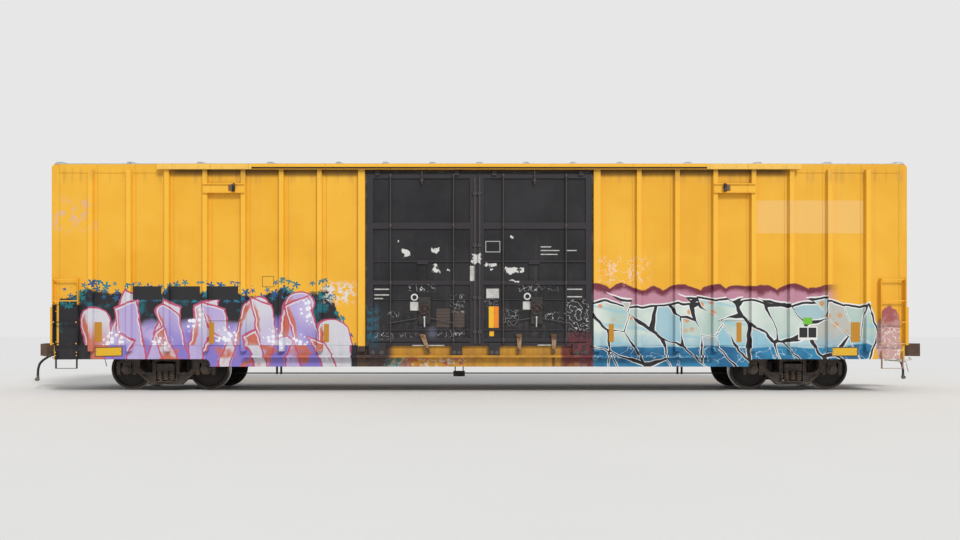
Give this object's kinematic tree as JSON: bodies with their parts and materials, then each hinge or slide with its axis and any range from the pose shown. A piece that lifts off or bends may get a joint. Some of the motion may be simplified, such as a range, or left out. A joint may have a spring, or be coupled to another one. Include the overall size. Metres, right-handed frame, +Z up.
{
  "type": "railroad boxcar",
  "caption": "High-cube railroad boxcar: yellow outside-post body, black double plug doors on each side, ladders, couplers and roller-bearing trucks with free-turning wheelsets.",
  "frame": {"origin": "under the middle of the car, level with the lowest points of the wheel flanges", "axes": "+X along the car, towards the end with the hand brake, +Y away from the side seen in the picture, +Z up"},
  "size_m": [20.726, 3.24, 5.1988],
  "materials": {
    "hose_rubber": "matt black",
    "brake_gear": "dusty black paint",
    "underframe_paint": "dusty black paint",
    "coupler_steel": "rusty cast steel",
    "platform_metal": "dull galvanised grating",
    "door_paint": "weathered black paint",
    "lever_steel": "rusty steel with worn pale paint",
    "gear_metal": "black paint with rust",
    "body_paint": "weathered yellow paint",
    "floor_boards": "bare boards",
    "gladhand_metal": "dull cast metal",
    "roof_metal": "dull galvanised sheet",
    "bearing_metal": "greasy rusty metal",
    "truck_casting": "dusty cast steel",
    "spring_steel": "rusty steel",
    "lever_paint": "dirty white paint",
    "wheel_steel": "dusty steel, bright tread"
  },
  "bodies": {
    "carbody": {"air_hose_a": "hose_rubber", "air_hose_b": "hose_rubber", "air_reservoir": "brake_gear", "angle_cocks": "brake_gear", "body_bolsters": "underframe_paint", "brake_cylinder": "brake_gear", "brake_lever_frame": "brake_gear", "brake_rods": "brake_gear", "centre_sill": "underframe_paint", "control_valve": "brake_gear", "cross_bearers": "underframe_paint", "crossover_platforms": "platform_metal", "door_far_left": "door_paint", "door_far_right": "door_paint", "door_levers": "lever_steel", "door_lock_gear": "gear_metal", "door_near_left": "door_paint", "door_near_right": "door_paint", "door_stops": "body_paint", "end_ladders": "body_paint", "end_sills": "body_paint", "end_wall_a": "body_paint", "end_wall_b": "body_paint", "floor": "floor_boards", "gladhand_a": "gladhand_metal", "gladhand_b": "gladhand_metal", "hand_brake": "brake_gear", "hand_brake_wheel": "brake_gear", "lower_tracks": "body_paint", "roof": "roof_metal", "side_ladders": "body_paint", "side_plates": "body_paint", "side_sills": "body_paint", "side_wall_far_left": "body_paint", "side_wall_far_right": "body_paint", "side_wall_near_left": "body_paint", "side_wall_near_right": "body_paint", "sill_steps": "body_paint", "train_pipe": "brake_gear", "uncoupling_levers": "lever_paint", "upper_tracks": "body_paint"},
    "body_coupler_a": {"coupler_a": "coupler_steel", "knuckle_a": "coupler_steel"},
    "body_coupler_b": {"coupler_b": "coupler_steel", "knuckle_b": "coupler_steel"},
    "truck_a": {"truck_a_bearings": "bearing_metal", "truck_a_bolster": "truck_casting", "truck_a_brake_beams": "truck_casting", "truck_a_side_frames": "truck_casting", "truck_a_springs": "spring_steel"},
    "truck_b": {"truck_b_bearings": "bearing_metal", "truck_b_bolster": "truck_casting", "truck_b_brake_beams": "truck_casting", "truck_b_side_frames": "truck_casting", "truck_b_springs": "spring_steel"},
    "body_wheelset_1": {"wheelset_1": "wheel_steel"},
    "body_wheelset_2": {"wheelset_2": "wheel_steel"},
    "body_wheelset_3": {"wheelset_3": "wheel_steel"},
    "body_wheelset_4": {"wheelset_4": "wheel_steel"}
  },
  "joints": [
    {"name": "truck_a_swivel", "type": "hinge", "parent": "carbody", "child": "truck_a", "pos_m": [-7.0485, 0, 0.6794], "axis": [0, 0, 1], "range_deg": [-8, 8]},
    {"name": "truck_b_swivel", "type": "hinge", "parent": "carbody", "child": "truck_b", "pos_m": [7.0485, 0, 0.6794], "axis": [0, 0, 1], "range_deg": [-8, 8]},
    {"name": "wheelset_1_spin", "type": "hinge", "parent": "truck_a", "child": "body_wheelset_1", "pos_m": [-7.9375, 0, 0.4826], "axis": [0, 1, 0], "continuous": true},
    {"name": "wheelset_2_spin", "type": "hinge", "parent": "truck_a", "child": "body_wheelset_2", "pos_m": [-6.1595, 0, 0.4826], "axis": [0, 1, 0], "continuous": true},
    {"name": "wheelset_3_spin", "type": "hinge", "parent": "truck_b", "child": "body_wheelset_3", "pos_m": [6.1595, 0, 0.4826], "axis": [0, 1, 0], "continuous": true},
    {"name": "wheelset_4_spin", "type": "hinge", "parent": "truck_b", "child": "body_wheelset_4", "pos_m": [7.9375, 0, 0.4826], "axis": [0, 1, 0], "continuous": true},
    {"name": "coupler_a_swing", "type": "hinge", "parent": "carbody", "child": "body_coupler_a", "pos_m": [-9.33, 0, 0.9014], "axis": [0, 0, 1], "range_deg": [-7, 7]},
    {"name": "coupler_b_swing", "type": "hinge", "parent": "carbody", "child": "body_coupler_b", "pos_m": [9.33, 0, 0.9014], "axis": [0, 0, 1], "range_deg": [-7, 7]}
  ]
}
